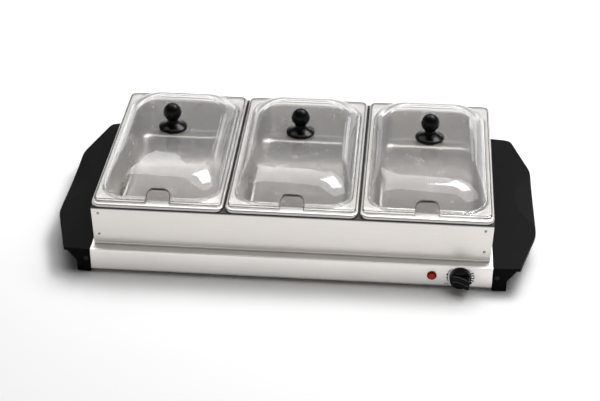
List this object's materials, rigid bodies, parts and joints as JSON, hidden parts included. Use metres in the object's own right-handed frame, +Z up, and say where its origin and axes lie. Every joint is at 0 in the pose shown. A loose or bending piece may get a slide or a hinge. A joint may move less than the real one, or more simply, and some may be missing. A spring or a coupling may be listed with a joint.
{
  "type": "electric buffet server",
  "caption": "Electric buffet server: a warming tray with moulded end grips carries a rack of removable steel pans, each under a clear domed lid with a knob and a spoon notch.",
  "frame": {"origin": "on the table, under the middle of the overall width and depth", "axes": "+X to the right along the row of pans as seen from the knob's side, +Y to the back, +Z up"},
  "size_m": [0.6898, 0.389, 0.1763],
  "materials": {
    "tray_steel": "brushed along its length",
    "rack_steel": "brushed along its length",
    "pan_steel": "bright drawn steel",
    "clear_plastic": "clear, glossy",
    "gloss_black": "polished",
    "cap_plastic": "fine moulded grain",
    "rubber": "matt",
    "blackened_steel": "blackened with oil",
    "zinc_steel": "zinc plated",
    "aluminium": "mill finish",
    "element_sheath": "heat-darkened steel tube",
    "red_lens": "translucent, polished",
    "neon_glass": "clear",
    "ceramic": "matt",
    "wire_cover": "woven sleeve"
  },
  "bodies": {
    "base": {"warming_tray": "tray_steel", "bottom_cover": "zinc_steel", "end_cap_left": "cap_plastic", "end_bracket_left": "zinc_steel", "foot_pad_front_left": "rubber", "foot_pad_back_left": "rubber", "cap_screw_front_left": "blackened_steel", "cap_screw_back_left": "blackened_steel", "end_cap_right": "cap_plastic", "end_bracket_right": "zinc_steel", "foot_pad_front_right": "rubber", "foot_pad_back_right": "rubber", "cap_screw_front_right": "blackened_steel", "cap_screw_back_right": "blackened_steel", "heat_spreader": "aluminium", "heating_element": "element_sheath", "heat_shield": "zinc_steel", "element_clamp_1": "zinc_steel", "element_clamp_2": "zinc_steel", "element_clamp_3": "zinc_steel", "thermostat_body": "ceramic", "thermostat_nut": "zinc_steel", "pilot_lens": "red_lens", "neon_lamp": "neon_glass", "lamp_clip": "zinc_steel", "thermal_fuse": "aluminium", "fuse_strap": "zinc_steel", "terminal_block": "ceramic", "cord_grommet": "rubber", "wire_supply": "wire_cover", "wire_switched": "wire_cover", "wire_element_fuse": "wire_cover", "wire_fuse_return": "wire_cover"},
    "rack": {"rack_front_panel": "rack_steel", "rack_back_panel": "rack_steel", "rack_side_left": "rack_steel", "rack_side_right": "rack_steel", "crossbar_left": "blackened_steel", "crossbar_right": "blackened_steel"},
    "thermostat_knob": {"control_knob": "gloss_black", "thermostat_spindle": "zinc_steel"},
    "pan_left": {"pan_left": "pan_steel"},
    "lid_left": {"lid_left": "clear_plastic", "lid_knob_left": "gloss_black", "lid_washer_left": "rubber", "lid_screw_left": "zinc_steel"},
    "pan_middle": {"pan_middle": "pan_steel"},
    "lid_middle": {"lid_middle": "clear_plastic", "lid_knob_middle": "gloss_black", "lid_washer_middle": "rubber", "lid_screw_middle": "zinc_steel"},
    "pan_right": {"pan_right": "pan_steel"},
    "lid_right": {"lid_right": "clear_plastic", "lid_knob_right": "gloss_black", "lid_washer_right": "rubber", "lid_screw_right": "zinc_steel"}
  },
  "joints": [
    {"name": "rack_lift", "type": "slide", "parent": "base", "child": "rack", "axis": [0, 0, 1], "range_m": [0, 0.06]},
    {"name": "knob_turn", "type": "hinge", "parent": "base", "child": "thermostat_knob", "pos_m": [0.2375, -0.1735, 0.0217], "axis": [0, -1, 0], "range_deg": [-180, 90]},
    {"name": "pan_left_lift", "type": "slide", "parent": "rack", "child": "pan_left", "axis": [0, 0, 1], "range_m": [0, 0.09]},
    {"name": "pan_middle_lift", "type": "slide", "parent": "rack", "child": "pan_middle", "axis": [0, 0, 1], "range_m": [0, 0.09]},
    {"name": "pan_right_lift", "type": "slide", "parent": "rack", "child": "pan_right", "axis": [0, 0, 1], "range_m": [0, 0.09]},
    {"name": "lid_left_lift", "type": "slide", "parent": "pan_left", "child": "lid_left", "axis": [0, 0, 1], "range_m": [0, 0.06]},
    {"name": "lid_middle_lift", "type": "slide", "parent": "pan_middle", "child": "lid_middle", "axis": [0, 0, 1], "range_m": [0, 0.06]},
    {"name": "lid_right_lift", "type": "slide", "parent": "pan_right", "child": "lid_right", "axis": [0, 0, 1], "range_m": [0, 0.06]}
  ]
}
